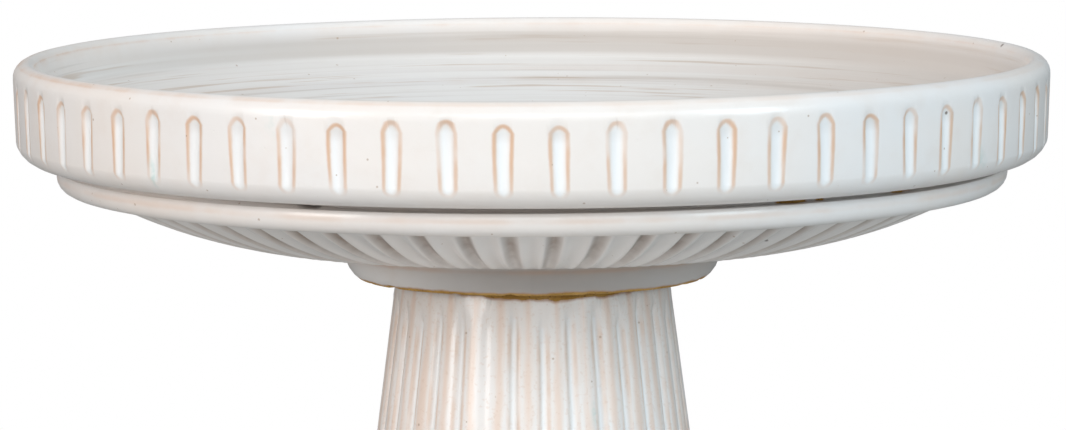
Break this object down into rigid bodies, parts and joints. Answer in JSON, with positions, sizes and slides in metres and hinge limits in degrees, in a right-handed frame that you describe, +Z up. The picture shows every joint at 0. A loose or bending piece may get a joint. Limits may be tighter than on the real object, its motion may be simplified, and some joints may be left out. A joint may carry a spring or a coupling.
{
  "type": "bird bath",
  "caption": "Glazed stoneware pedestal bird bath: a shallow fluted bowl that turns on and lifts off a hollow fluted column.",
  "frame": {"origin": "on the ground at the middle of the column's foot", "axes": "+Z up along the column's axis; X and Y level, with one band flute facing +X"},
  "size_m": [0.52, 0.52, 0.6],
  "materials": {
    "white_glaze": "glossy off-white glaze on tan stoneware, thin and orange-tan on edges, pooled bluish white in the grooves, bare clay under the foot ring and on the column's head",
    "seat_rubber": "plain black rubber"
  },
  "bodies": {
    "pedestal": {"pedestal": "white_glaze"},
    "cushion_ring": {"cushion_ring": "seat_rubber"},
    "bowl": {"bowl": "white_glaze"}
  },
  "joints": [
    {"name": "bowl_turn", "type": "hinge", "parent": "pedestal", "child": "cushion_ring", "pos_m": [0, 0, 0.5044], "axis": [0, 0, 1], "continuous": true},
    {"name": "bowl_lift", "type": "slide", "parent": "cushion_ring", "child": "bowl", "axis": [0, 0, 1], "range_m": [0, 0.06]}
  ]
}
